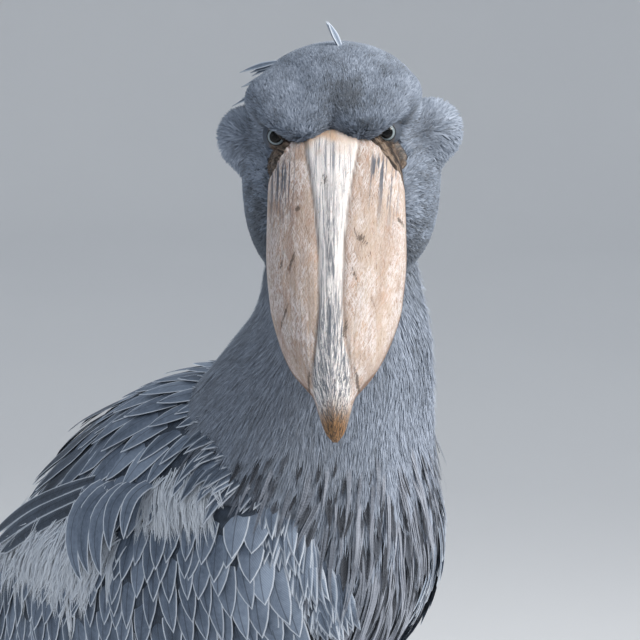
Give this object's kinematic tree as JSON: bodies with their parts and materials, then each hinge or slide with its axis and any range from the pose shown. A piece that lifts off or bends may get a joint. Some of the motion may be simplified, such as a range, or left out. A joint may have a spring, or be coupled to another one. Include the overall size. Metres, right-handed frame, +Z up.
{
  "type": "shoebill model",
  "caption": "Life-size still model of a shoebill, standing with drawn-in neck and its great hooked bill held down.",
  "frame": {"origin": "on the floor under the soles, below the middle of the bounding box", "axes": "+Z up; the body faces -Y and the bird's left side is on +X, with the head turned to its right"},
  "size_m": [0.3, 0.7246, 1.1555],
  "materials": {
    "plumage": "slate blue-grey feathers with pale edges",
    "crown": "short blue-grey feathers",
    "bill": "tan horn, streaked and mottled grey",
    "eye": "polished, pale grey iris and black pupil",
    "leg": "dark grey scaled skin"
  },
  "bodies": {
    "root": {"torso": "plumage", "neck": "plumage", "mantle": "plumage", "tail": "plumage", "wing_left": "plumage", "wing_right": "plumage", "thigh_left": "plumage", "thigh_right": "plumage", "head": "crown", "bill_upper": "bill", "bill_lower": "bill", "eye_left": "eye", "eye_right": "eye", "shank_left": "leg", "shank_right": "leg", "toe_middle_left": "leg", "toe_inner_left": "leg", "toe_outer_left": "leg", "toe_hind_left": "leg", "toe_middle_right": "leg", "toe_inner_right": "leg", "toe_outer_right": "leg", "toe_hind_right": "leg"}
  },
  "joints": []
}
